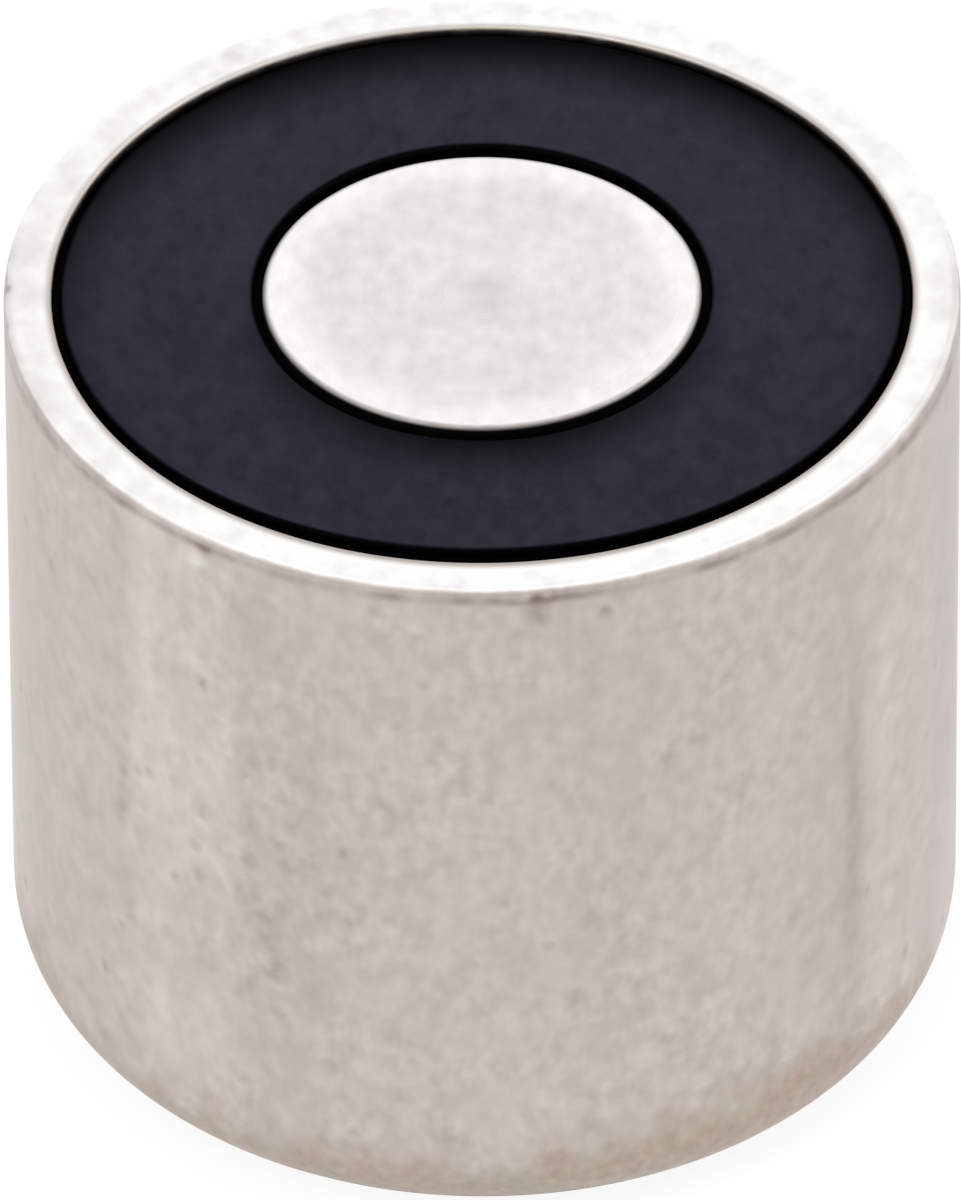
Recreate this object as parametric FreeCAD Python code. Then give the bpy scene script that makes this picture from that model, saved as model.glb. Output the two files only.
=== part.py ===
# Round electro-permanent holding magnet, released by a current pulse through its coil.
# A turned steel cup is the outer pole, a steel pole stands in its middle on a permanent magnet disc,
# and the coil between them is sealed under black casting resin.
# Millimetres. +Z is the axis, the mounting face is z = 0 and the holding face looks up.
# +Y points to the back, where the two leads come out of the wall.

import FreeCAD
import Part

import math
import os

# Cup
body_diameter = 25.0
body_height = 22.0
wall = 1.25
base_thickness = 6.5
foot_radius = 3.0
rim_outer_bevel = 0.15
rim_inner_bevel = 0.1

# Tapped mounting hole in the middle of the base
thread_diameter = 4.0
thread_pitch = 0.7
thread_depth = 4.5
countersink_diameter = 4.4
drill_point_angle = 118.0

# Pole and magnet
pole_diameter = 11.5
pole_bevel = 0.15
magnet_thickness = 3.0

# Coil former, its terminal pocket at the back and the winding
former_clearance = 0.1
former_tube = 0.6
top_flange = 0.8
flange_clearance = 0.2
pocket_width = 5.6
pocket_depth = 2.4
pocket_roof = 0.6
winding_margin = 0.7
tape_thickness = 0.1
tail_diameter = 0.3
tail_slot_width = 0.5
tail_reach = 0.4

# Square terminal pins
pin_width = 0.6
pin_spacing = 2.8
pin_grip = 1.3
pin_tip_gap = 0.3

# Lead bush in the wall
bush_diameter = 2.2
bush_reach = 0.5
bush_inset = 0.05
bush_bevel = 0.1
bush_floor_gap = 0.4
bush_roof_gap = 0.1
lead_hole_diameter = 0.8
lead_spacing = 1.0

# Casting resin
resin_cover = 1.5
resin_recess = 0.12
resin_groove_width = 0.3
resin_groove_depth = 0.3
resin_edge_bevel = 0.1

# Levels and radii that follow from the sizes above
body_radius = body_diameter / 2
bore_radius = body_radius - wall
pole_radius = pole_diameter / 2
tap_radius = (thread_diameter - thread_pitch) / 2
countersink_radius = countersink_diameter / 2
floor_level = base_thickness
magnet_top = floor_level + magnet_thickness
former_top = body_height - resin_cover
former_bore = pole_radius + former_clearance
tube_radius = former_bore + former_tube
flange_radius = bore_radius - flange_clearance
bush_radius = bush_diameter / 2
lead_level = floor_level + bush_floor_gap + bush_radius
pocket_top = lead_level + bush_radius + bush_roof_gap
winding_bottom = pocket_top + pocket_roof
winding_top = former_top - top_flange
winding_radius = flange_radius - winding_margin
tape_radius = winding_radius + tape_thickness
pocket_floor = flange_radius - pocket_depth
bush_inner_end = bore_radius - bush_reach
bush_outer_end = math.sqrt(body_radius ** 2 - bush_radius ** 2) - bush_inset
pin_top = lead_level + pin_width / 2
pin_tip = bush_inner_end - pin_tip_gap
resin_level = body_height - resin_recess

# How far a cutting tool reaches past the face that it opens
overrun = 1.0

# Two points closer than this are one point
same_place = 1e-6

ROUND = "round"
BEVEL = "bevel"


def corner_cut(before, corner, after):
    """The points where a corner's round or bevel leaves its two sides, and the round's middle point."""
    r, z, kind, size = corner
    point = FreeCAD.Vector(r, 0, z)
    back = (FreeCAD.Vector(before[0], 0, before[1]) - point).normalize()
    ahead = (FreeCAD.Vector(after[0], 0, after[1]) - point).normalize()
    if kind == BEVEL:
        return point + back * size, None, point + ahead * size
    half_angle = back.getAngle(ahead) / 2
    trim = size / math.tan(half_angle)
    bisector = (back + ahead).normalize()
    middle = point + bisector * (size / math.sin(half_angle) - size)
    return point + back * trim, middle, point + ahead * trim


def turned(*corners):
    """A solid turned about Z from a closed outline of (radius, height) corners, counter-clockwise in the
    radius-height plane. A corner may add ROUND or BEVEL and a size."""
    count = len(corners)
    edges = []
    stations = []
    for i, corner in enumerate(corners):
        if len(corner) == 2:
            point = FreeCAD.Vector(corner[0], 0, corner[1])
            stations.append((point, None, point))
        else:
            stations.append(corner_cut(corners[i - 1], corner, corners[(i + 1) % count]))
    for i, (enter, middle, leave) in enumerate(stations):
        if middle is not None:
            edges.append(Part.Arc(enter, middle, leave).toShape())
        elif not enter.isEqual(leave, same_place):
            edges.append(Part.LineSegment(enter, leave).toShape())
        following = stations[(i + 1) % count][0]
        if not leave.isEqual(following, same_place):
            edges.append(Part.LineSegment(leave, following).toShape())
    outline = Part.Face(Part.Wire(edges))
    return outline.revolve(FreeCAD.Vector(0, 0, 0), FreeCAD.Vector(0, 0, 1), 360)


def rod_along_y(x, z, radius, start, end):
    """A round rod along Y at the given X and Z."""
    return Part.makeCylinder(radius, end - start, FreeCAD.Vector(x, start, z), FreeCAD.Vector(0, 1, 0))


def block(x0, x1, y0, y1, z0, z1):
    """A box between two corners."""
    return Part.makeBox(x1 - x0, y1 - y0, z1 - z0, FreeCAD.Vector(x0, y0, z0))


def bevel_rims(solid, y, size):
    """The solid with its round edges in the plane at this Y bevelled."""
    rims = [
        edge for edge in solid.Edges
        if all(abs(vertex.Y - y) < same_place for vertex in edge.Vertexes)
    ]
    return solid.makeChamfer(size, rims)


def tapped_hole():
    """The space of the mounting hole: countersink, tapping drill and drill point."""
    countersink_depth = countersink_radius - tap_radius
    point_height = tap_radius / math.tan(math.radians(drill_point_angle / 2))
    mouth_radius = countersink_radius + overrun
    return turned(
        (0, -overrun),
        (mouth_radius, -overrun),
        (tap_radius, countersink_depth),
        (tap_radius, thread_depth),
        (0, thread_depth + point_height),
    )


def lead_hole():
    """The space of the lead bush, through the wall at the back."""
    return rod_along_y(0, lead_level, bush_radius, bush_inner_end, body_radius + overrun)


def pot_shell():
    """The cup: rounded foot, flat rim, bored out to a floor, tapped below and drilled at the back."""
    cup = turned(
        (0, 0),
        (body_radius, 0, ROUND, foot_radius),
        (body_radius, body_height, BEVEL, rim_outer_bevel),
        (bore_radius, body_height, BEVEL, rim_inner_bevel),
        (bore_radius, floor_level),
        (0, floor_level),
    )
    return cup.cut([tapped_hole(), lead_hole()])


def magnet_disc():
    """The permanent magnet, a disc as wide as the pole that stands on it."""
    return turned(
        (0, floor_level),
        (pole_radius, floor_level),
        (pole_radius, magnet_top),
        (0, magnet_top),
    )


def centre_pole():
    """The inner pole, from the magnet up to the holding face."""
    return turned(
        (0, magnet_top),
        (pole_radius, magnet_top),
        (pole_radius, body_height, BEVEL, pole_bevel),
        (0, body_height),
    )


def coil_former():
    """The moulded former: a tube with two flanges, the lower one thick, with a terminal pocket in its back,
    holes for the pins and slots for the two tails of the winding."""
    former = turned(
        (former_bore, floor_level),
        (flange_radius, floor_level),
        (flange_radius, winding_bottom),
        (tube_radius, winding_bottom),
        (tube_radius, winding_top),
        (flange_radius, winding_top),
        (flange_radius, former_top),
        (former_bore, former_top),
    )
    cuts = [
        block(
            -pocket_width / 2, pocket_width / 2,
            pocket_floor, flange_radius + overrun,
            floor_level - overrun, pocket_top,
        )
    ]
    for side in (-1, 1):
        x = side * pin_spacing / 2
        cuts.append(terminal_pin(side))
        cuts.append(
            block(
                x - tail_slot_width / 2, x + tail_slot_width / 2,
                pocket_floor, flange_radius + overrun,
                pocket_top - overrun, winding_bottom,
            )
        )
    return former.cut(cuts)


def winding_tail(side):
    """A tail of the winding: out of its underside, down through the slot in the pocket's roof and onto the
    pin."""
    x = side * pin_spacing / 2
    y = pocket_floor + tail_reach if side < 0 else pin_tip - tail_reach
    drop = winding_bottom - pin_top
    return Part.makeCylinder(tail_diameter / 2, drop, FreeCAD.Vector(x, y, pin_top), FreeCAD.Vector(0, 0, 1))


def coil_winding():
    """The enamelled wire wound on the former, with its start and finish tails."""
    coil = turned(
        (tube_radius, winding_bottom),
        (winding_radius, winding_bottom),
        (winding_radius, winding_top),
        (tube_radius, winding_top),
    )
    return coil.fuse([winding_tail(-1), winding_tail(1)]).removeSplitter()


def winding_tape():
    """The insulating tape wrapped round the winding."""
    return turned(
        (winding_radius, winding_bottom),
        (tape_radius, winding_bottom),
        (tape_radius, winding_top),
        (winding_radius, winding_top),
    )


def terminal_pin(side):
    """A square pin pressed into the former, pointing out at the lead bush."""
    x = side * pin_spacing / 2
    return block(
        x - pin_width / 2, x + pin_width / 2,
        pocket_floor - pin_grip, pin_tip,
        lead_level - pin_width / 2, pin_top,
    )


def lead_bush():
    """The insulating bush in the wall, with a hole for each lead."""
    bush = rod_along_y(0, lead_level, bush_radius, bush_inner_end, bush_outer_end)
    bush = bevel_rims(bush, bush_outer_end, bush_bevel)
    holes = [
        rod_along_y(
            side * lead_spacing / 2, lead_level, lead_hole_diameter / 2,
            bush_inner_end - overrun, bush_outer_end + overrun,
        )
        for side in (-1, 1)
    ]
    return bush.cut(holes)


def casting_resin(buried):
    """The resin poured over the coil: the cup's bore less all that is buried in it. It is shrunk back a
    little below the holding face, with a fine groove along the pole and along the wall."""
    groove_level = resin_level - resin_groove_depth
    pour = turned(
        (former_bore, floor_level),
        (bore_radius, floor_level),
        (bore_radius, groove_level),
        (bore_radius - resin_groove_width, groove_level),
        (bore_radius - resin_groove_width, resin_level, BEVEL, resin_edge_bevel),
        (pole_radius + resin_groove_width, resin_level, BEVEL, resin_edge_bevel),
        (pole_radius + resin_groove_width, groove_level),
        (pole_radius, groove_level),
        (pole_radius, former_top),
        (former_bore, former_top),
    )
    return pour.cut(buried + [lead_hole()])


def main():
    """Builds every piece and writes one file for each."""
    nodes = {
        "pot_shell": pot_shell(),
        "centre_pole": centre_pole(),
        "magnet_disc": magnet_disc(),
        "coil_former": coil_former(),
        "coil_winding": coil_winding(),
        "winding_tape": winding_tape(),
        "terminal_pin_start": terminal_pin(-1),
        "terminal_pin_finish": terminal_pin(1),
        "lead_bush": lead_bush(),
    }
    buried = ("coil_former", "coil_winding", "winding_tape", "terminal_pin_start", "terminal_pin_finish")
    nodes["casting_resin"] = casting_resin([nodes[name] for name in buried])
    os.makedirs("parts", exist_ok=True)
    for name, shape in nodes.items():
        shape.exportStep(os.path.join("parts", name + ".step"))
        print(f"{name:20s} {len(shape.Solids)} solid, {shape.Volume:9.2f} mm3, valid {shape.isValid()}")


main()
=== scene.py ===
import math
from functools import cached_property

import bmesh
import bpy
import numpy as np
from mathutils import Matrix, Vector


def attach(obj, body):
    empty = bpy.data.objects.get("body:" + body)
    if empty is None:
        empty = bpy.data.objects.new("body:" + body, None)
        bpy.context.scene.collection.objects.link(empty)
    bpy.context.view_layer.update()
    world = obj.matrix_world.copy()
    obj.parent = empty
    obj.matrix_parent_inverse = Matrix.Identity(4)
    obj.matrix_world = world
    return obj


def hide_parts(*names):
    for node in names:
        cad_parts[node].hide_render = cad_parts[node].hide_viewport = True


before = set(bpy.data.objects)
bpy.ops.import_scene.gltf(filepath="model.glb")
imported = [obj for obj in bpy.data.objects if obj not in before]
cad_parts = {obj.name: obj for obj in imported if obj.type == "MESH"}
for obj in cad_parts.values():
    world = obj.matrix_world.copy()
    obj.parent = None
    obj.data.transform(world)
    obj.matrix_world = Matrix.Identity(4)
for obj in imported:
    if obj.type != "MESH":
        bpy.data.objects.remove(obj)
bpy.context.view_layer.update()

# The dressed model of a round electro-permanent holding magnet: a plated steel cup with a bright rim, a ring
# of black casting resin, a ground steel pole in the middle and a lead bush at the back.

# Shapes are worked out in millimetres, and MM turns them into metres
MM = 0.001

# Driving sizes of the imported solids
body_diameter = 25.0
body_height = 22.0
wall_thickness = 1.25
base_thickness = 6.5
foot_radius = 3.0
thread_diameter = 4.0
thread_pitch = 0.7
thread_depth = 4.5
countersink_diameter = 4.4
drill_point_angle = 118.0
pole_diameter = 11.5
magnet_thickness = 3.0
top_flange = 0.8
flange_clearance = 0.2
pocket_depth = 2.4
pocket_roof = 0.6
winding_margin = 0.7
tape_thickness = 0.1
bush_diameter = 2.2
bush_reach = 0.5
bush_floor_gap = 0.4
bush_roof_gap = 0.1
resin_cover = 1.5
resin_recess = 0.12
resin_groove_depth = 0.3

# Levels and radii that follow from them
body_radius = body_diameter / 2
bore_radius = body_radius - wall_thickness
pole_radius = pole_diameter / 2
tap_radius = (thread_diameter - thread_pitch) / 2
thread_height = thread_diameter / 2 - tap_radius
countersink_radius = countersink_diameter / 2
floor_level = base_thickness
pole_bottom = floor_level + magnet_thickness
former_top = body_height - resin_cover
flange_radius = bore_radius - flange_clearance
bush_radius = bush_diameter / 2
bush_inner_end = bore_radius - bush_reach
lead_level = floor_level + bush_floor_gap + bush_radius
pocket_top = lead_level + bush_radius + bush_roof_gap
pocket_floor = flange_radius - pocket_depth
winding_bottom = pocket_top + pocket_roof
winding_top = former_top - top_flange
tape_radius = flange_radius - winding_margin + tape_thickness
resin_level = body_height - resin_recess
groove_level = resin_level - resin_groove_depth

# Finer sizes that only the dressed model has
thread_step = 0.05
rim_round = 0.17
rim_inner_round = 0.1
pole_round = 0.12
pole_foot_bevel = 0.1
groove_width = 0.2
groove_bevel = 0.03
wall_groove_front_growth = 0.4
pole_groove_front_growth = 0.1
pole_groove_back_growth = 0.28
resin_shoulder = 0.1
resin_sag = 0.04
mouth_break = 0.08
seat_clearance = 0.005
seat_radius = bush_radius + seat_clearance
pocket_half_angle = 14.0
pocket_step = 0.02

# Shares of a pitch that the thread's crest and its two flanks take, and the turns in which it fades out
thread_crest_share = 0.25
thread_flank_share = 0.62
thread_fade_turns = 1.2

# Slow waves round the axis: how many, the phase in radians and the size of each
rim_waves = ((3, 0.7, 0.02), (7, 2.1, 0.012), (19, 0, 0.008))
groove_waves = ((5, 1.3, 0.015), (11, 0.4, 0.01))

# Nicks in the rim's outer edge: azimuth and width in degrees, and depth
rim_nicks = ((-93, 1.6, 0.07), (-84, 1.0, 0.05), (12, 0.9, 0.03), (61, 1.2, 0.04), (140, 1.4, 0.05))

# Edges that turn by more degrees than this stay crisp
crisp_angle = 30.0

# Columns of every turned surface, counted clockwise from the back as seen from above
COLUMNS = 240
COLUMN_ANGLE = 2 * np.pi / COLUMNS
ANGLE = COLUMN_ANGLE * np.arange(COLUMNS)

# Rows that only divide a face: radii on the level faces and heights on the upright ones. The inner ring is
# the one next to a face's middle point
inner_ring = 1.0
base_rows = (countersink_radius + 0.05, 5.8, body_radius - foot_radius - 0.1)
lower_wall_rows = (foot_radius + 0.1, foot_radius + 1.5)
upper_wall_rows = (12, 15, 18, body_height - 1.4, body_height - 0.32)
rim_rows = (body_radius - 0.3, bore_radius + rim_inner_round + 0.05)
bore_rows = (body_height - 0.15, 19, 15, 11)
floor_rows = (8, 4, inner_ring)
pole_side_rows = (15, 20.5, body_height - 0.3)
pole_face_rows = (pole_radius - 0.3, 4.5, 3, inner_ring)
resin_side_rows = (12, 18)

# Number of rows across the resin's sagging face
RESIN_FACE_ROWS = 11

# The lead hole's window in a wall: its columns, its rows and the heights of its foot and top on either face
WINDOW = np.arange(-6, 7)
WINDOW_ROWS = 17
outer_window = (lead_level - 1.9, lead_level + 1.9)
inner_window = (lead_level - 1.4, lead_level + 1.4)

# Heights closer than this are one height
same_height = 1e-6

# Where the rings of a window's patch lie on the way from the window's edge, 0, to the hole's mouth, 1
outer_patch = (0.4, 0.75, 0.93, 1)
inner_patch = (0.35, 0.7, 1)

# Angles in degrees of the rings on the round that breaks the hole's outer edge
mouth_bends = (30, 60, 90)


def on_columns(r, z):
    """Rows of radius and height repeated round the axis: rows by columns by (radius, height)."""
    shape = np.broadcast_shapes(np.shape(r), np.shape(z), (1, COLUMNS))
    return np.stack([np.broadcast_to(r, shape), np.broadcast_to(z, shape)], -1)


def run(*corners):
    """A straight run of rows through (radius, height) corners."""
    r, z = np.array(corners, float).T[:, :, None]
    return on_columns(r, z)


def upright(radius, *heights):
    """Rows along a straight wall at these heights."""
    return on_columns(radius, np.array(heights, float)[:, None])


def level(height, *radii):
    """Rows across a flat face at these radii."""
    return on_columns(np.array(radii, float)[:, None], height)


def arc(r, z, radius, start, end, steps):
    """Rows on an arc: centre plus radius times (cosine, sine), from start to end in degrees. The centre and
    the radius may change round the axis."""
    turn = np.radians(np.linspace(start, end, steps))[:, None]
    return on_columns(r + radius * np.cos(turn), z + radius * np.sin(turn))


def window_rows(radius, window):
    """Rows up a straight wall, from the foot of the lead hole's window to its top."""
    return upright(radius, *np.linspace(*window, WINDOW_ROWS))


def turned(profile):
    """Points of a turned surface: x = radius sin(angle), y = radius cos(angle), z = height."""
    r, z = profile[..., 0], profile[..., 1]
    return np.stack([r * np.sin(ANGLE), r * np.cos(ANGLE), z], -1)


def numbered(first, rows):
    """Point numbers of rows of points, counted on from the first."""
    count, length = rows.shape[:2]
    return first + np.arange(count * length).reshape(count, length)


def ring_faces(index):
    """Four-sided faces between neighbouring rows of point numbers, where each row closes on itself."""
    after = np.roll(index, -1, axis=1)
    return np.stack([index[:-1], after[:-1], after[1:], index[1:]], -1)


def fan_faces(ring, tip):
    """Triangles from a closed ring of point numbers to one point."""
    return np.stack([ring, np.roll(ring, -1), np.full_like(ring, tip)], -1)


def window_loop(rows, columns):
    """Row and column numbers round a window's edge: along its foot, up, back along its top and down."""
    row = np.concatenate([
        np.full(len(columns) - 1, rows[0]), rows[:-1], np.full(len(columns) - 1, rows[-1]), rows[:0:-1],
    ])
    column = np.concatenate([
        columns[:-1], np.full(len(rows) - 1, columns[-1]), columns[:0:-1], np.full(len(rows) - 1, columns[0]),
    ])
    return row, column


def find_rows(profile, radius, window):
    """Row numbers of a window in a straight wall, from its foot to its top."""
    low, high = window
    r, z = profile[:, 0, 0], profile[:, 0, 1]
    rows = np.flatnonzero(np.isclose(r, radius) & (z > low - same_height) & (z < high + same_height))
    return rows[np.argsort(z[rows])]


def window_edge(profile, index, radius, window):
    """A window's rows, the point numbers round its edge, and the angle and the height of each of them."""
    rows = find_rows(profile, radius, window)
    row, column = window_loop(rows, WINDOW)
    return rows, index[row, column % COLUMNS], column * COLUMN_ANGLE, profile[row, 0, 1]


def open_windows(faces, *windows):
    """The faces of a turned surface without those inside windows, each given by its rows."""
    kept = np.ones(faces.shape[:2], bool)
    for rows in windows:
        kept[np.ix_(np.arange(rows.min(), rows.max()), WINDOW[:-1] % COLUMNS)] = False
    return faces[kept]


def mouth_direction(across, up, radius):
    """Direction of each point of a window's edge, seen from the middle of the lead hole."""
    return np.arctan2(up - lead_level, radius * across)


def patch_rings(across, up, radius, hole_radius, shares):
    """Rings on a round wall between a window's edge and the lead hole's mouth: each edge point and the
    mouth's point in the same direction, mixed by share and laid on the wall."""
    direction = mouth_direction(across, up, radius)
    mouth_across = np.arcsin(hole_radius * np.cos(direction) / radius)
    mouth_up = lead_level + hole_radius * np.sin(direction)
    share = np.array(shares)[:, None]
    angle = across + (mouth_across - across) * share
    return np.stack([radius * np.sin(angle), radius * np.cos(angle), up + (mouth_up - up) * share], -1)


def tube_rings(direction, hole_radius, y):
    """Rings of the lead hole: circles about its axis, each with its radius and its distance along Y."""
    x = hole_radius * np.cos(direction)
    z = lead_level + hole_radius * np.sin(direction)
    return np.stack([x, np.broadcast_to(y, x.shape), z], -1)


def mouth_rings(across, up):
    """Rings of the round that breaks the lead hole's outer edge, a quarter circle from the cup's wall into
    the hole: the radius is the seat's plus the break times 1 - sin(bend), and the distance along Y is the
    wall's less the break times 1 - cos(bend)."""
    direction = mouth_direction(across, up, body_radius)
    bend = np.radians(mouth_bends)[:, None]
    hole_radius = seat_radius + mouth_break * (1 - np.sin(bend))
    wall_y = np.sqrt(body_radius ** 2 - (seat_radius * np.cos(direction)) ** 2)
    return tube_rings(direction, hole_radius, wall_y - mouth_break * (1 - np.cos(bend)))


def put_in_scene(name, data):
    """Puts a new object with this mesh, lamp or camera into the scene, at the origin."""
    made = bpy.data.objects.new(name, data)
    bpy.context.scene.collection.objects.link(made)
    return made


def make_piece(name, points, faces, node, slot, finish):
    """Makes one closed mesh piece in place of a solid: points in millimetres, faces as arrays of point
    numbers; the normals are turned outwards."""
    mesh = bpy.data.meshes.new(name)
    corners = sum((part.reshape(-1, part.shape[-1]).tolist() for part in faces), [])
    mesh.from_pydata((points * MM).tolist(), [], corners)
    shell = bmesh.new()
    shell.from_mesh(mesh)
    bmesh.ops.recalc_face_normals(shell, faces=shell.faces)
    shell.to_mesh(mesh)
    shell.free()
    mesh.shade_smooth()
    mesh.set_sharp_from_angle(angle=math.radians(crisp_angle))
    mesh.materials.append(finish)
    piece = put_in_scene(name, mesh)
    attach(piece, "root")
    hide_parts(node)


def waver(waves):
    """The sum of waves round the axis: size times the sine of count times angle plus phase."""
    return sum(size * np.sin(count * ANGLE + phase) for count, phase, size in waves)


def rim_break():
    """Round of the rim's outer edge: its mean size, a slow waver and a few nicks, each a bell of the azimuth,
    depth times exp(-(distance / width) squared)."""
    azimuth = np.degrees(np.arctan2(np.sin(ANGLE), -np.cos(ANGLE)))
    nicks = sum(depth * np.exp(-((azimuth - at) / width) ** 2) for at, width, depth in rim_nicks)
    return rim_round + waver(rim_waves) + nicks


def thread_rows():
    """The tapped hole from its end down to the base: the larger of the countersink's cone and the tapping
    radius plus the thread. The thread is a wave of the height in pitches plus the angle in turns, a right
    hand helix with flat crests and roots, that fades out at the hole's end."""
    height = np.arange(round(thread_depth / thread_step), -1, -1)[:, None] * thread_step
    phase = (height / thread_pitch + ANGLE / (2 * np.pi)) % 1
    tent = 1 - abs(2 * phase - 1)
    wave = np.clip((tent - thread_crest_share) / thread_flank_share, 0, 1)
    fade = np.clip((thread_depth - height) / (thread_fade_turns * thread_pitch), 0, 1)
    r = np.maximum(countersink_radius - height, tap_radius + thread_height * wave * fade)
    return on_columns(r, height)


def cup_profile():
    """The cup's outline: from the end of the tapped hole along the base, round the foot, up the wall, over
    the rim and down the bore to the middle of the floor."""
    outer = rim_break()
    inner = rim_inner_round
    return np.concatenate([
        thread_rows(),
        level(0, *base_rows),
        arc(body_radius - foot_radius, foot_radius, foot_radius, -90, 0, steps=19),
        upright(body_radius, *lower_wall_rows),
        window_rows(body_radius, outer_window),
        upright(body_radius, *upper_wall_rows),
        arc(body_radius - outer, body_height - outer, outer, 0, 90, steps=7),
        level(body_height, *rim_rows),
        arc(bore_radius + inner, body_height - inner, inner, 90, 180, steps=6),
        upright(bore_radius, *bore_rows),
        window_rows(bore_radius, inner_window)[::-1],
        level(floor_level, bore_radius, *floor_rows),
    ])


def cup_surface():
    """The cup as one skin: its turned outline, closed by a point at either end, with the lead hole's window
    patched on both faces of the wall and the hole's seat between them."""
    profile = cup_profile()
    grid = turned(profile)
    index = numbered(0, grid)
    drill_tip = thread_depth + tap_radius / math.tan(math.radians(drill_point_angle / 2))
    ends = np.array([[0, 0, drill_tip], [0, 0, floor_level]])
    outer_rows, outer_loop, across, up = window_edge(profile, index, body_radius, outer_window)
    inner_rows, inner_loop, inner_across, inner_up = window_edge(profile, index, bore_radius, inner_window)
    rings = np.concatenate([
        patch_rings(across, up, body_radius, seat_radius + mouth_break, outer_patch),
        mouth_rings(across, up),
        patch_rings(inner_across, inner_up, bore_radius, seat_radius, inner_patch[::-1]),
    ])
    sleeve = np.concatenate([outer_loop[None], numbered(index.size + len(ends), rings), inner_loop[None]])
    points = np.concatenate([grid.reshape(-1, 3), ends, rings.reshape(-1, 3)])
    skin = [
        open_windows(ring_faces(index), outer_rows, inner_rows),
        fan_faces(index[0], index.size),
        fan_faces(index[-1], index.size + 1),
        ring_faces(sleeve),
    ]
    return points, skin


def pole_surface():
    """The pole, turned from the middle of its foot round its edge to the middle of the holding face."""
    profile = np.concatenate([
        level(pole_bottom, inner_ring, pole_radius - pole_foot_bevel),
        upright(pole_radius, pole_bottom + pole_foot_bevel, *pole_side_rows),
        arc(pole_radius - pole_round, body_height - pole_round, pole_round, 0, 90, steps=8),
        level(body_height, *pole_face_rows),
    ])
    grid = turned(profile)
    index = numbered(0, grid)
    ends = np.array([[0, 0, pole_bottom], [0, 0, body_height]])
    points = np.concatenate([grid.reshape(-1, 3), ends])
    return points, [ring_faces(index), fan_faces(index[0], index.size), fan_faces(index[-1], index.size + 1)]


def resin_top():
    """The resin's top, from the groove along the wall to the groove along the pole: a rounded shoulder on
    each side, and a face between them that sags by a parabola of the radius. Each groove's width is its mean
    plus powers of half of 1 plus or less the angle's cosine, and a slow waver moves both shoulders alike."""
    backward = 0.5 + 0.5 * np.cos(ANGLE)
    forward = 1 - backward
    waves = waver(groove_waves)
    outer = bore_radius - groove_width - wall_groove_front_growth * forward ** 4 + waves
    inner = pole_radius + groove_width + waves
    inner = inner + pole_groove_back_growth * backward ** 3 + pole_groove_front_growth * forward ** 3
    share = np.linspace(1, -1, RESIN_FACE_ROWS + 2)[1:-1, None]
    face_r = (outer + inner) / 2 + ((outer - inner) / 2 - resin_shoulder) * share
    face_z = resin_level - resin_sag * (1 - share ** 2)
    groove_bottom = groove_level - groove_bevel
    return np.concatenate([
        on_columns(bore_radius - groove_bevel, groove_bottom),
        on_columns(outer + groove_bevel, groove_bottom),
        on_columns(outer, groove_level),
        arc(outer - resin_shoulder, resin_level - resin_shoulder, resin_shoulder, 0, 90, steps=6),
        on_columns(face_r, face_z),
        arc(inner + resin_shoulder, resin_level - resin_shoulder, resin_shoulder, 90, 180, steps=6),
        on_columns(inner, groove_level),
        on_columns(inner - groove_bevel, groove_bottom),
        on_columns(pole_radius + groove_bevel, groove_bottom),
    ])


def resin_profile():
    """The resin's outline as a closed loop: up the bore, over the top, down to the former and back along
    former, tape and terminal pocket. The pocket is a flat at the back, radius = pocket floor / cos(angle),
    and beside it the resin stands a small step inside the flange."""
    from_back = abs((ANGLE + np.pi) % (2 * np.pi) - np.pi)
    in_pocket = from_back < math.radians(pocket_half_angle)
    pocket_r = np.where(in_pocket, pocket_floor / np.cos(from_back), flange_radius - pocket_step)
    return np.concatenate([
        upright(bore_radius, *resin_side_rows, groove_level),
        resin_top(),
        run((pole_radius, groove_level), (pole_radius, former_top), (flange_radius, former_top)),
        run((flange_radius, winding_top), (tape_radius, winding_top)),
        run((tape_radius, winding_bottom), (flange_radius, winding_bottom), (flange_radius, pocket_top)),
        on_columns(pocket_r, np.array([[pocket_top], [floor_level]])),
        run((bore_radius, floor_level)),
        window_rows(bore_radius, inner_window),
    ])


def resin_surface():
    """The resin as one skin: its turned outline, with the lead hole's window patched on the bore and a round
    seat for the bush's inner end, which has a ring half way in and is closed by a point in its middle."""
    profile = resin_profile()
    grid = turned(profile)
    index = numbered(0, grid)
    rows, loop, across, up = window_edge(profile, index, bore_radius, inner_window)
    direction = mouth_direction(across, up, bore_radius)
    end_radii = seat_radius * np.array([[1], [0.5]])
    rings = np.concatenate([
        patch_rings(across, up, bore_radius, seat_radius, inner_patch),
        tube_rings(direction, end_radii, bush_inner_end),
    ])
    seat_middle = np.array([[0, bush_inner_end, lead_level]])
    sleeve = np.concatenate([loop[None], numbered(index.size, rings)])
    points = np.concatenate([grid.reshape(-1, 3), rings.reshape(-1, 3), seat_middle])
    closed = np.concatenate([index, index[:1]])
    skin = [
        open_windows(ring_faces(closed), rows),
        ring_faces(sleeve),
        fan_faces(sleeve[-1], len(points) - 1),
    ]
    return points, skin


# Numbers of the Mix node's colour sockets, because its other kinds of value have sockets of the same names
MIX_FACTOR = 0
MIX_LOW = 6
MIX_HIGH = 7
MIX_RESULT = 2


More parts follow.
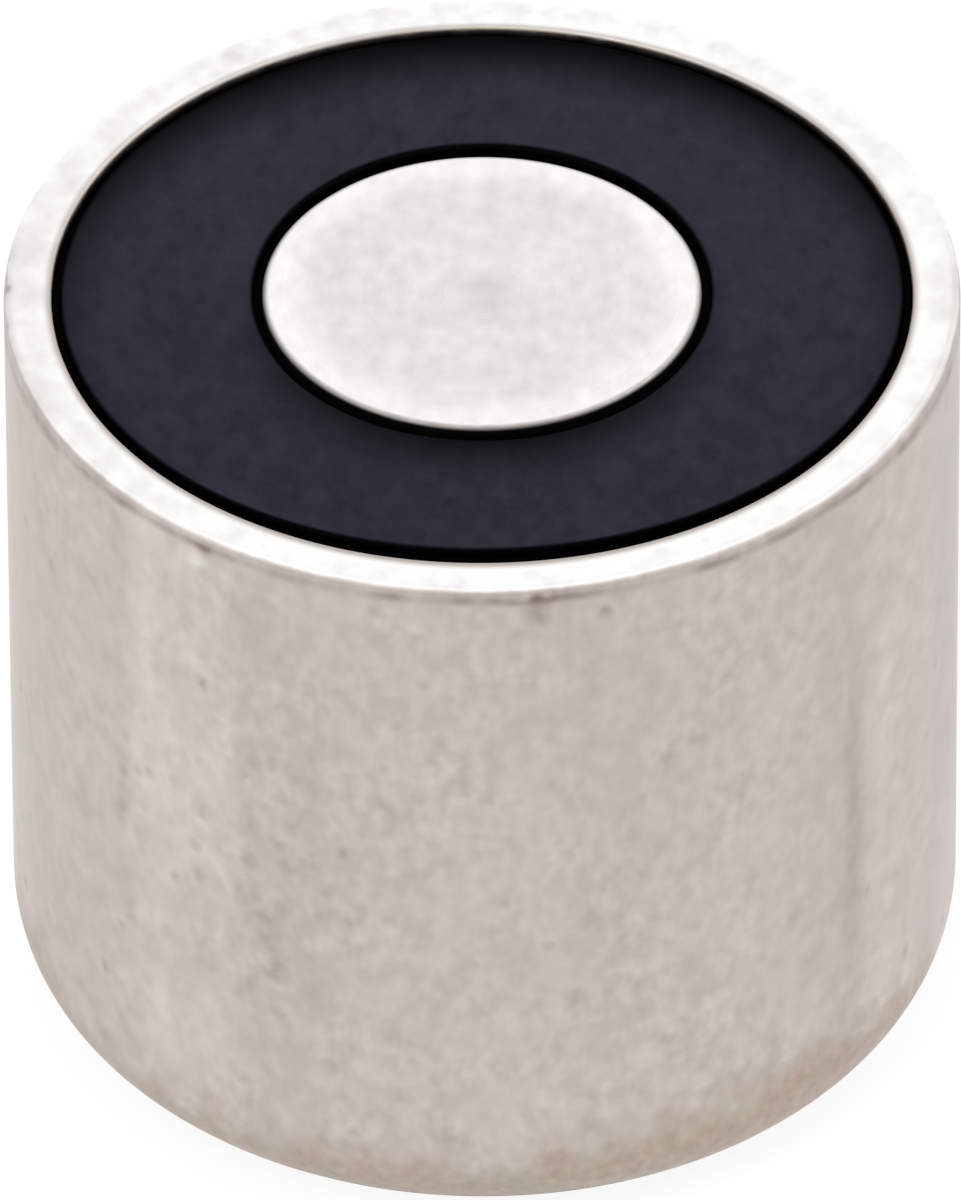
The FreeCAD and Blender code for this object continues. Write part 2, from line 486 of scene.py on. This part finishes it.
class Field:
    """A value over a surface: one socket in a node tree. Sums, products and powers of fields add Math nodes.
    A field without a socket only starts a tree's first nodes."""

    def __init__(self, tree, socket=None):
        self.tree = tree
        self.socket = socket

    def feed(self, socket):
        """Links the field to a node's input."""
        self.tree.links.new(self.socket, socket)

    def node(self, kind, settings=None, sockets=None, output=0):
        """Adds a node of this kind, sets its settings, then sets or links its sockets; gives one output."""
        made = self.tree.nodes.new(kind)
        for name, value in (settings or {}).items():
            setattr(made, name, value)
        for name, value in (sockets or {}).items():
            if isinstance(value, Field):
                value.feed(made.inputs[name])
            else:
                made.inputs[name].default_value = value
        return Field(self.tree, made.outputs[output])

    def beside(self, output):
        """Another output of the same node."""
        return Field(self.tree, self.socket.node.outputs[output])

    def math(self, operation, *values):
        """A Math node's operation on these values."""
        return self.node("ShaderNodeMath", {"operation": operation}, dict(enumerate(values)))

    def __add__(self, other):
        return self.math("ADD", self, other)

    __radd__ = __add__

    def __sub__(self, other):
        return self.math("SUBTRACT", self, other)

    def __rsub__(self, other):
        return self.math("SUBTRACT", other, self)

    def __mul__(self, other):
        return self.math("MULTIPLY", self, other)

    __rmul__ = __mul__

    def __truediv__(self, other):
        return self.math("DIVIDE", self, other)

    def __pow__(self, power):
        return self.math("POWER", self, power)

    def __neg__(self):
        return 0 - self

    def __abs__(self):
        return self.math("ABSOLUTE", self)

    def step(self, low, high):
        """0 below low, 1 above high, and a smooth step between."""
        return self.node(
            "ShaderNodeMapRange", {"interpolation_type": "SMOOTHSTEP"},
            {"Value": self, "From Min": low, "From Max": high},
        )

    def bell(self, at, width):
        """1 where the field is at this value, falling smoothly to 0 a width away on either side."""
        return 1 - abs(self - at).step(0, width)

    def mix(self, low, high):
        """A colour: low where the field is 0, high where it is 1."""
        sockets = {MIX_FACTOR: self, MIX_LOW: low, MIX_HIGH: high}
        return self.node("ShaderNodeMix", {"data_type": "RGBA"}, sockets, MIX_RESULT)


class Finish:
    """A material in the making: its shader, the place on the surface in metres and its coordinates in
    millimetres."""

    def __init__(self, name, **constants):
        self.material = bpy.data.materials.new(name)
        self.material.use_nodes = True
        tree = self.material.node_tree
        self.shader = tree.nodes["Principled BSDF"]
        for socket, value in constants.items():
            self.shader_input(socket).default_value = value
        self.place = Field(tree).node("ShaderNodeTexCoord", output="Object")
        split = self.place.node("ShaderNodeSeparateXYZ", {}, {0: self.place})
        self.x = split * (1 / MM)
        self.y = split.beside("Y") * (1 / MM)
        self.z = split.beside("Z") * (1 / MM)

    def shader_input(self, name):
        """The shader's input of this name, with underscores for spaces."""
        return self.shader.inputs[name.replace("_", " ")]

    @cached_property
    def radius(self):
        """Distance from the axis in millimetres."""
        return self.x.math("SQRT", self.x * self.x + self.y * self.y)

    @cached_property
    def azimuth(self):
        """Angle round the axis in degrees, 0 at the front and growing to the right."""
        return self.x.math("ARCTAN2", self.x, -self.y) * (180 / math.pi)

    @cached_property
    def backward(self):
        """0 at the front and 1 at the back, by the cosine of the angle round the axis."""
        return 0.5 + 0.5 * (self.y / self.radius)

    @cached_property
    def forward(self):
        """1 at the front and 0 at the back."""
        return 1 - self.backward

    def around(self, marks):
        """The sum of bells round the axis, from the azimuth, the half width and the size of each."""
        return sum(self.azimuth.bell(at, width) * size for at, width, size in marks)

    def stretched(self, stretch):
        """The place divided by a stretch along each axis."""
        scale = tuple(1 / share for share in stretch)
        sockets = {"Vector": self.place, "Scale": scale}
        return self.place.node("ShaderNodeMapping", {"vector_type": "POINT"}, sockets)

    def noise(self, size, stretch=(1, 1, 1), detail=1.0, roughness=0.5):
        """Noise about 0 whose blotches are about this many millimetres, stretched along each axis."""
        place = self.stretched(stretch)
        sockets = {"Vector": place, "Scale": 1 / (size * MM), "Detail": detail, "Roughness": roughness}
        return self.place.node("ShaderNodeTexNoise", {}, sockets) - 0.5

    def dots(self, spacing, radius, share, stretch=(1, 1, 1)):
        """Soft round dots about this many millimetres apart, on a share of the cells that they lie in."""
        fade = 0.1
        sockets = {"Vector": self.stretched(stretch), "Scale": 1 / (spacing * MM)}
        cells = self.place.node("ShaderNodeTexVoronoi", {}, sockets)
        chosen = cells.beside("Color").step(1 - share, 1 - share + fade)
        return (1 - cells.step(0, radius / spacing)) * chosen

    def bump(self, height, depth):
        """A bumped normal: height is about -1 to 1, depth its size in millimetres."""
        sockets = {"Strength": 1.0, "Distance": depth * MM, "Height": height}
        return self.place.node("ShaderNodeBump", {}, sockets)

    def wire(self, **fields):
        """Links fields to the shader's inputs and gives the finished material."""
        for socket, field in fields.items():
            field.feed(self.shader_input(socket))
        return self.material


# Black of steel that resin wets, also painted as shade in the grooves up to the steel's rounded edges
wetted_and_shaded_black = (0.012, 0.012, 0.014, 1)

# Painted reflections on the cup's wall, upright streaks that stand in for lamps and dark surroundings
# mirrored in the
# satin plate: azimuth and half width in degrees, middle height and half reach in millimetres, and how far
# each lightens or darkens the plate
painted_reflection_streaks = (
    (-85, 6, 11, 40, 0.16),
    (-54, 14, 11, 40, 0.08),
    (-46, 4, 17, 12, 0.16),
    (-44.3, 1.7, 17.3, 3.2, 0.2),
    (-42, 7, 13, 24, 0.34),
    (-35, 6, 12, 24, 0.30),
    (-24, 8, 11, 10, -0.10),
    (12, 6, 11, 30, -0.03),
    (32, 16, 11, 40, 0.06),
    (50.5, 3.2, 10, 10, -0.30),
    (57, 5, 12, 40, 0.14),
    (66, 8, 12, 40, 0.12),
    (78, 9, 4.5, 5, 0.32),
    (85, 5, 11, 40, 0.12),
    (112, 9, 11, 40, 0.10),
    (140, 14, 11, 40, -0.08),
    (-118, 12, 11, 40, 0.08),
    (-150, 8, 12, 20, 0.12),
)

# Painted light on both sides of the wall, a plain tone lighter on the left than on the right: azimuth and
# half width in degrees, share and colour
painted_side_light = (
    (82, 26, 0.5, (0.515, 0.462, 0.452, 1)),
    (-82, 26, 0.5, (0.58, 0.527, 0.488, 1)),
)

# How much higher the foot's tan band of painted shade and reflection reaches: azimuth and half width in
# degrees, and millimetres
foot_rises = ((40, 56, 1.1), (82, 22, -0.9), (-72, 20, 1.0))

# Brown marks and a pale chip under the rim: azimuth and half width in degrees, drop from the rim and half
# reach in millimetres, how far the mottling frays each in millimetres, and strength
brown_marks = (
    (5.6, 4.5, 0.4, 0.28, 0.6, 0.25),
    (6.5, 2.6, 0.78, 0.75, 1.2, 0.5),
    (-35.2, 1.8, 0.5, 0.3, 0.4, 0.5),
)
plate_chip = (-36.4, 2.2, 0.8, 0.45, 0.5, 0.75)

# Worn dents in the rim's outer edge: azimuth and half width in degrees, and strength
rim_dents = ((-91, 1.4, 0.8), (-79, 6, 0.1))


class PlatedSteel(Finish):
    """The cup's satin nickel plate: the noises and masks that its marks and its painted light and shade
    share, and a method for each.
    Of these noises mottle is the finest, and coarser to the sides; blotch and cloud are larger, and drawn
    runs in lines along the axis."""

    def __init__(self):
        super().__init__("plated_steel")
        sideways = abs(self.x).step(6, 11) * 0.7
        fine = self.noise(0.42, (1, 1.3, 1.3))
        coarse = self.noise(0.6, (1, 1.2, 1.2))
        self.mottle = fine * (1 - sideways) + coarse * (sideways * 1.3)
        self.blotch = self.noise(1.0, (1, 1.3, 1.3))
        self.cloud = self.noise(4.0, detail=2.0)
        self.drawn = self.noise(0.7, (1, 1, 12))
        # Painted contact shade: a dark band along the very bottom of the foot, where it meets the floor
        self.contact_shade = 1 - (self.z + self.blotch * 0.4 + self.mottle * 0.4).step(0.75, 1.15)
        # Painted shade on the rim's inner round, wider towards the front; the round is also made rougher
        # there
        self.inner_round_shade = 1 - (self.radius - self.forward ** 3 * 0.12).step(bore_radius, bore_radius + 0.24)
        # The front of the rim's outer round: painted shade in grey, and a worn, rougher plate
        at_edge = self.radius.step(body_radius - 0.3, body_radius - 0.08)
        self.shaded_and_worn_edge = at_edge * (1 - self.backward.step(0.5, 0.66))

    def wall_with_reflections(self):
        """The wall's plate, mottled in stronger and weaker patches, a little more to the sides and to the
        left, with painted reflections as upright streaks and painted light as a plain tone on either side."""
        dark = (0.405, 0.365, 0.337, 1)
        light = (0.705, 0.638, 0.594, 1)
        patch = self.noise(1.8).step(-0.15, 0.2)
        strength = (0.56 + 0.48 * patch) * (1 + abs(self.x) * 0.012 - self.x * 0.008)
        tone = 0.5 + self.mottle * strength + 0.3 * self.blotch + 0.12 * self.cloud + 0.1 * self.drawn
        # Painted reflections: upright streaks that lighten or darken the plate, as mirrored lamps and dark
        # surroundings would
        for at, width, height, reach, change in painted_reflection_streaks:
            reflection_streak = self.azimuth.bell(at, width) * self.z.bell(height, reach)
            tone = tone + reflection_streak * (1 + self.cloud * 2) * change
        wall = tone.mix(dark, light)
        # Painted light: a plain tone over each side of the wall, lighter on the left than on the right
        for at, width, share, side_tone in painted_side_light:
            wall = (self.azimuth.bell(at, width) * share).mix(wall, side_tone)
        return wall

    def spotted(self, wall):
        """The wall with soft spots and specks, crowded left of the front and in clouds elsewhere."""
        spot_colour = (0.33, 0.30, 0.28, 1)
        crowd = self.azimuth.bell(-34, 32) * self.z.bell(12, 9)
        crowd = crowd + (self.cloud + self.blotch * 0.5).step(-0.15, 0.25)
        spots = self.dots(spacing=0.9, radius=0.36, share=0.6, stretch=(1, 1, 1.3))
        specks = self.dots(spacing=0.62, radius=0.36, share=0.55)
        marks = spots * (0.45 + self.mottle * 2) + specks * (0.22 + self.mottle * 1.5)
        return (marks * crowd).mix(wall, spot_colour)

    def shaded_foot(self, wall):
        """The wall with a speckled tan band up the round of its foot, painted shade and a painted reflection
        of the floor, and a darker painted contact shade below that.
        """
        pink_tan = (0.47, 0.366, 0.311, 1)
        olive_tan = (0.437, 0.377, 0.306, 1)
        pale_speckle = (0.64, 0.53, 0.42, 1)
        dark_speckle = (0.32, 0.265, 0.225, 1)
        contact_shade_colour = (0.16, 0.135, 0.12, 1)
        speckle = self.noise(0.3, (1, 1.3, 1.3))
        tan = (0.5 + self.blotch * 3).mix(pink_tan, olive_tan)
        tan = (speckle.step(0.02, 0.18) * 0.22).mix(tan, pale_speckle)
        tan = ((-speckle).step(0.02, 0.18) * 0.28).mix(tan, dark_speckle)
        # Painted shade and floor reflection: a speckled tan band up the foot's round, reaching higher in
        # places
        height = self.z + self.blotch * 2.2 + self.mottle * 0.8 - self.around(foot_rises)
        darkening = 1 - height.step(1.45, 3.5)
        wall = (darkening * 0.95).mix(wall, tan)
        # Painted contact shade at the bottom of the foot
        return (self.contact_shade * 0.8).mix(wall, contact_shade_colour)

    def edge_mark(self, at, width, drop, reach, fray, strength):
        """A mark under the rim: a bell round the axis times a bell of the height, frayed by the mottling."""
        height = self.z + self.mottle * fray
        return self.azimuth.bell(at, width) * height.bell(body_height - drop, reach) * strength

    def shaded_edge_and_marks(self, wall):
        """The wall with a broken brown line of painted shade under the rim's edge, which widens to both
        sides, the brown marks on it and the pale chip in the plate."""
        brown = (0.235, 0.175, 0.15, 1)
        chip_colour = (0.78, 0.78, 0.72, 1)
        beside = abs(self.azimuth).bell(85, 40)
        below = self.z - body_height + 0.32 + self.mottle * 0.1 + self.blotch * 0.15 + beside * 0.2
        # Painted shade: a broken brown line along the wall under the rim's edge, wider towards both sides
        line = (below / (1 + beside * 0.8)).bell(0, 0.27)
        broken = self.noise(1.6, (1, 1, 20), detail=2.0, roughness=0.6).step(-0.14, 0.14)
        darkening = line * (0.15 + broken * 0.5) + sum(self.edge_mark(*mark) for mark in brown_marks)
        wall = darkening.mix(wall, brown)
        return self.edge_mark(*plate_chip).mix(wall, chip_colour)

    def ground_rim(self):
        """The rim's plate: bright and mottled, with painted light that makes it brighter to the front and the
        back than to the sides, most at the front, and brighter towards the right; painted highlights along
        the bore and along the back of its outer edge; painted shade in brown along its inner round, and
        painted shade in grey along the front of its outer round, deeper at worn dents."""
        dark = (0.775, 0.76, 0.745, 1)
        light = (0.975, 0.97, 0.96, 1)
        brown = (0.32, 0.26, 0.21, 1)
        shade_and_wear_grey = (0.46, 0.43, 0.41, 1)
        bore_highlight = 1 - self.radius.step(bore_radius + 0.2, bore_radius + 0.7)
        outer_edge_highlight = self.radius.step(body_radius - 0.4, body_radius - 0.1)
        # Painted light: brighter to the front and back than to the sides, most at the front, and towards the
        # right
        tone = 0.57 + abs(self.y) * 0.03 - self.y * 0.012 + self.x * 0.012
        tone = tone + 1.2 * self.mottle + 1.2 * self.blotch
        # Painted highlights along the bore and along the back of the outer edge
        tone = tone + bore_highlight * 0.2 + outer_edge_highlight * self.backward.step(0.55, 0.8) * 0.3
        # Painted shade in brown on the inner round
        rim = (self.inner_round_shade * 0.75).mix(tone.mix(dark, light), brown)
        # Painted shade in grey on the front of the outer round, deeper at worn dents
        shade_and_wear = 0.5 - abs(self.y) * 0.02 + self.x * 0.01 + self.around(rim_dents)
        return (self.shaded_and_worn_edge * shade_and_wear).mix(rim, shade_and_wear_grey)

    def wetted_and_shaded_bore(self):
        """1 on the bore's wall where resin wets it, and higher in the groove where shade is painted, fading
        out at the rim's inner round.
        """
        on_bore = 1 - self.radius.step(bore_radius + 0.02, bore_radius + 0.06)
        below_rim = 1 - self.z.step(body_height - 0.33, body_height - 0.03)
        return on_bore * self.z.step(10, 11) * below_rim

    def dull_brink(self):
        """1 on the front of the wall's upper edge, where the plate is rubbed dull."""
        at_edge = self.radius.step(body_radius - 0.17, body_radius - 0.06)
        at_top = self.z.step(body_height - 0.2, body_height - 0.12)
        return at_edge * at_top * (1 - abs(self.azimuth - 5).step(55, 85))


def plated_steel():
    """The cup: satin nickel plate, mottled and spotted on the wall, with painted reflections as streaks and
    painted light on its sides; painted shade and floor reflection in tan up the foot, with painted contact
    shade below; painted shade in brown under the rim's edge, with brown marks on it; painted light and shade
    on the bright ground rim; and black where resin wets the bore and where shade is painted in the groove."""
    steel = PlatedSteel()
    wall = steel.wall_with_reflections()
    wall = steel.spotted(wall)
    wall = steel.shaded_foot(wall)
    wall = steel.shaded_edge_and_marks(wall)
    height = steel.z + steel.mottle * 0.05 + steel.backward * 0.06
    on_top = height.step(body_height - 0.07, body_height - 0.005)
    colour = on_top.mix(wall, steel.ground_rim())
    # Black where resin wets the bore, and painted shade in the groove above it
    colour = steel.wetted_and_shaded_bore().mix(colour, wetted_and_shaded_black)
    roughness = 0.42 + steel.mottle * 0.2 + steel.drawn * 0.1 + steel.dull_brink() * 0.3
    roughness = roughness + on_top * ((steel.shaded_and_worn_edge + steel.inner_round_shade) * 0.3 - 0.12)
    # Less metal where the contact shade is painted, so that it reads dark
    return steel.wire(
        Base_Color=colour, Roughness=roughness, Metallic=1 - steel.contact_shade * 0.9,
        Normal=steel.bump(steel.mottle + steel.drawn * 0.2, depth=0.002),
    )


def ground_steel():
    """The pole: finely ground steel with faint turning rings, a few grey clouds, a darker middle, a painted
    highlight along its border, which is a little smoother, and painted shade on its rounded edge; its side is
    black where resin wets it, and painted shade blackens the groove side up over the edge's round."""
    dark = (0.60, 0.570, 0.555, 1)
    light = (0.975, 0.952, 0.94, 1)
    edge_shade_colour = (0.2, 0.18, 0.165, 1)
    rings_per_millimetre = 14.0
    steel = Finish("ground_steel", Metallic=1.0)
    radius = steel.radius
    mottle = steel.noise(0.5, (1, 1.5, 1))
    cloud = steel.noise(2.0, (1, 1.5, 1))
    sockets = {"W": radius, "Scale": rings_per_millimetre, "Detail": 2.0}
    rings = steel.place.node("ShaderNodeTexNoise", {"noise_dimensions": "1D"}, sockets) - 0.5
    # Painted highlight along the border of the face
    border = (radius + cloud * 0.8).step(pole_radius - 1.55, pole_radius - 0.35)
    middle = 1 - (radius + cloud * 1.5).step(0.1, 1.6)
    tone = 0.5 + 0.42 * mottle + 0.3 * cloud + 0.15 * rings + border * 0.4 - middle * 0.2
    # Painted shade on the rounded edge, which is also made rougher
    edge = (radius + mottle * 0.06).step(pole_radius - 0.2, pole_radius - 0.02)
    colour = (edge * 0.9).mix(tone.mix(dark, light), edge_shade_colour)
    # Black where resin wets the pole's side, and painted shade in the groove up over the edge's round
    wet_and_shaded = 1 - (steel.z + mottle * 0.02).step(body_height - 0.12, body_height + 0.005)
    colour = wet_and_shaded.mix(colour, wetted_and_shaded_black)
    roughness = 0.34 + mottle * 0.2 - border * 0.06 + edge * 0.3
    ground = steel.bump(rings + mottle * 0.5, depth=0.004)
    return steel.wire(Base_Color=colour, Roughness=roughness, Normal=ground)


def black_resin():
    """The casting resin: satin blue-black, mottled, with fine dust. Painted shade blackens it along both
    grooves and darkens it towards the front, in front of the pole and towards the back of the wall."""
    dark = (0.0187, 0.0184, 0.0277, 1)
    light = (0.0367, 0.0360, 0.0497, 1)
    shaded = (0.002, 0.002, 0.003, 1)
    groove_shade_black = (0.001, 0.001, 0.0012, 1)
    resin = Finish("black_resin", Specular_IOR_Level=0.01)
    radius = resin.radius
    backward = resin.backward
    forward = resin.forward
    cloud = resin.noise(2.4, (1, 1.5, 1))
    blotch = resin.noise(0.45, (1, 1.5, 1), detail=2.0)
    dust = resin.noise(0.09)
    # Painted shade: a little darker towards the front
    tone = 0.52 + 0.4 * cloud + 1.1 * blotch + dust * 0.3 - forward ** 3 * 0.15
    # Painted shade in front of the pole and towards the back of the wall
    shade_by_pole = 1 - (radius + backward * 3).step(pole_radius - 0.15, pole_radius + 2.45)
    shade_by_wall = (radius + backward * 2.2).step(bore_radius - 0.55, bore_radius + 1.95)
    colour = (shade_by_pole + shade_by_wall).mix(tone.mix(dark, light), shaded)
    # Painted shade: black along the groove by the pole and the groove by the wall, wider in places round the
    # axis
    pole_growth = backward ** 3 * 0.45 + forward ** 3 * 0.1
    wall_growth = forward ** 4 * 0.45 + backward ** 4 * 0.2
    pole_groove_shade = 1 - (radius - pole_growth).step(pole_radius + 0.16, pole_radius + 0.32)
    wall_groove_shade = (radius + wall_growth).step(bore_radius - 0.33, bore_radius - 0.19)
    colour = (pole_groove_shade + wall_groove_shade).mix(colour, groove_shade_black)
    roughness = 0.5 + cloud * 0.2
    uneven = resin.bump(cloud + dust * 0.15, depth=0.02)
    return resin.wire(Base_Color=colour, Roughness=roughness, Normal=uneven)


def moulded_plastic(name, dark, light, roughness):
    """A moulded plastic with a fine grain."""
    plastic = Finish(name)
    grain = plastic.noise(0.12, detail=2.0)
    return plastic.wire(
        Base_Color=(0.5 + grain).mix(dark, light), Roughness=roughness + grain * 0.2,
        Normal=plastic.bump(grain, depth=0.01),
    )


def enamelled_wire():
    """The winding: copper under enamel, with a ridge for each turn along the axis, painted lighter on the
    ridges and with painted shade in the valleys between the turns.
    """
    wire_diameter = 0.3
    dark = (0.32, 0.1, 0.035, 1)
    light = (0.62, 0.24, 0.09, 1)
    wire = Finish("enamelled_wire", Metallic=1.0, Coat_Weight=0.6)
    turns = wire.z.math("SINE", wire.z * (2 * math.pi / wire_diameter))
    # Painted light and shade: lighter on each ridge, darker in the valleys between the turns
    colour = (0.5 + turns * 0.5).mix(dark, light)
    roughness = 0.3 + wire.noise(0.8, detail=2.0) * 0.2
    return wire.wire(Base_Color=colour, Roughness=roughness, Normal=wire.bump(turns, depth=0.06))


def film_tape():
    """The tape round the winding: clear yellow film with faint wrinkles."""
    dark = (0.62, 0.40, 0.05, 1)
    light = (0.78, 0.56, 0.10, 1)
    film = Finish("insulating_tape", Coat_Weight=0.4)
    wrinkle = film.noise(1.2, (1, 1, 6), detail=2.0, roughness=0.6)
    colour = (0.5 + wrinkle).mix(dark, light)
    roughness = 0.3 + wrinkle * 0.2
    return film.wire(Base_Color=colour, Roughness=roughness, Normal=film.bump(wrinkle, depth=0.03))


def bare_metal(name, dark, light, roughness):
    """A plain metal with a mottled skin."""
    metal = Finish(name, Metallic=1.0)
    mottle = metal.noise(0.4, detail=2.0, roughness=0.6)
    return metal.wire(Base_Color=(0.5 + mottle).mix(dark, light), Roughness=roughness + mottle * 0.2)


def dress_node(node, finish):
    """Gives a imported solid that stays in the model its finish."""
    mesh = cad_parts[node].data
    mesh.materials.clear()
    mesh.materials.append(finish)


def dress_solids():
    """Gives the bush and the pieces inside the magnet, which stay as packed, their finishes."""
    pin = bare_metal("tinned_pin", dark=(0.62, 0.62, 0.61, 1), light=(0.82, 0.82, 0.8, 1), roughness=0.3)
    alloy = bare_metal("magnet_alloy", dark=(0.42, 0.42, 0.43, 1), light=(0.58, 0.58, 0.6, 1), roughness=0.4)
    former = moulded_plastic(
        "former_plastic", dark=(0.008, 0.008, 0.008, 1), light=(0.03, 0.03, 0.03, 1), roughness=0.55,
    )
    bush = moulded_plastic(
        "bush_plastic", dark=(0.006, 0.006, 0.007, 1), light=(0.02, 0.02, 0.022, 1), roughness=0.5,
    )
    dress_node("terminal_pin_start", pin)
    dress_node("terminal_pin_finish", pin)
    dress_node("magnet_disc", alloy)
    dress_node("coil_former", former)
    dress_node("lead_bush", bush)
    dress_node("coil_winding", enamelled_wire())
    dress_node("winding_tape", film_tape())


def seen_rays(tree):
    """1 for rays that show the surroundings: from the camera, off gloss or through glass; otherwise 0."""
    path = Field(tree).node("ShaderNodeLightPath", output="Is Camera Ray")
    mirrored = path.math("MAXIMUM", path.beside("Is Glossy Ray"), path.beside("Is Transmission Ray"))
    return path.math("MAXIMUM", path, mirrored)


def white_world():
    """A white surround, which lights the object at a lower level than it shows."""
    lit_level = 0.6
    seen_level = 1.0
    world = bpy.data.worlds.new("white_surround")
    world.use_nodes = True
    bpy.context.scene.world = world
    background = world.node_tree.nodes["Background"]
    background.inputs["Color"].default_value = (1, 1, 1, 1)
    strength = lit_level + seen_rays(world.node_tree) * (seen_level - lit_level)
    strength.feed(background.inputs["Strength"])


def white_floor():
    """A wide white floor a hair under the magnet. It shows partly its own white and partly the light that
    falls on it, so that a soft shadow stays."""
    half_width = 3.0
    height = -0.02 * MM
    own_share = 0.86
    own_strength = 1.05
    own_white = (1, 1, 1, 1)
    lit_white = (0.92, 0.92, 0.92, 1)
    corners = [(x * half_width, y * half_width, height) for x, y in ((-1, -1), (1, -1), (1, 1), (-1, 1))]
    mesh = bpy.data.meshes.new("floor")
    mesh.from_pydata(corners, [], [(0, 1, 2, 3)])
    material = bpy.data.materials.new("floor_white")
    material.use_nodes = True
    tree = material.node_tree
    tree.nodes.remove(tree.nodes["Principled BSDF"])
    seen = seen_rays(tree)
    lit = seen.node("ShaderNodeBsdfDiffuse", {}, {"Color": lit_white})
    own = seen.node("ShaderNodeEmission", {}, {"Color": own_white, "Strength": own_strength})
    surface = seen.node("ShaderNodeMixShader", {}, {0: seen * own_share, 1: lit, 2: own})
    surface.feed(tree.nodes["Material Output"].inputs["Surface"])
    mesh.materials.append(material)
    floor = put_in_scene("floor", mesh)


def soft_lamp(name, place, size, power):
    """A round area lamp aimed at the middle of the magnet; place and size in metres, power in watts."""
    light = bpy.data.lights.new(name, "AREA")
    light.shape = "DISK"
    light.size = size
    light.energy = power
    lamp = put_in_scene(name, light)
    aim = Vector((0, 0, 0.5 * body_height * MM)) - Vector(place)
    lamp.location = place
    lamp.rotation_euler = aim.to_track_quat("-Z", "Y").to_euler()


def photo_camera():
    """The camera of the photograph, fitted to its outlines: elevation and roll in radians, distance in
    metres, the focal length in pixels, the sensor in millimetres, and the pixel at which the middle of the
    holding face lies. It is aimed so that this point falls there."""
    elevation = 0.669517
    roll = -0.0047567
    distance = 0.732718
    focal = 28048.8
    sensor = 36.0
    width, height = 961, 1200
    face_x, face_y = 481.51, 290.53
    middle_x, middle_y = (width - 1) / 2, (height - 1) / 2
    back = Vector((0, -math.cos(elevation), math.sin(elevation)))
    level_right = Vector((1, 0, 0))
    level_up = back.cross(level_right)
    right = math.cos(roll) * level_right + math.sin(roll) * level_up
    up = math.cos(roll) * level_up - math.sin(roll) * level_right
    ahead = -back + right * ((middle_x - face_x) / focal) - up * ((middle_y - face_y) / focal)
    ahead.normalize()
    right = (right - ahead * right.dot(ahead)).normalized()
    up = right.cross(ahead)
    data = bpy.data.cameras.new("photo_camera")
    data.sensor_width = sensor
    data.lens = focal * sensor / max(width, height)
    camera = put_in_scene("photo_camera", data)
    place = Vector((0, 0, body_height * MM)) + back * distance
    camera.matrix_world = Matrix.Translation(place) @ Matrix((right, up, -ahead)).transposed().to_4x4()
    bpy.context.scene.camera = camera


def main():
    """Builds and dresses every piece, then the stage, the light and the camera."""
    make_piece("cup", *cup_surface(), "pot_shell", "plated_steel", plated_steel())
    make_piece("pole", *pole_surface(), "centre_pole", "ground_steel", ground_steel())
    make_piece("resin", *resin_surface(), "casting_resin", "black_resin", black_resin())
    dress_solids()
    white_world()
    white_floor()
    soft_lamp("key_lamp", place=(-0.35, -0.4, 0.6), size=0.5, power=2.4)
    soft_lamp("fill_lamp", place=(0.5, 0.1, 0.5), size=0.5, power=1.6)
    photo_camera()
    bpy.context.scene.view_settings.view_transform = "Standard"


main()
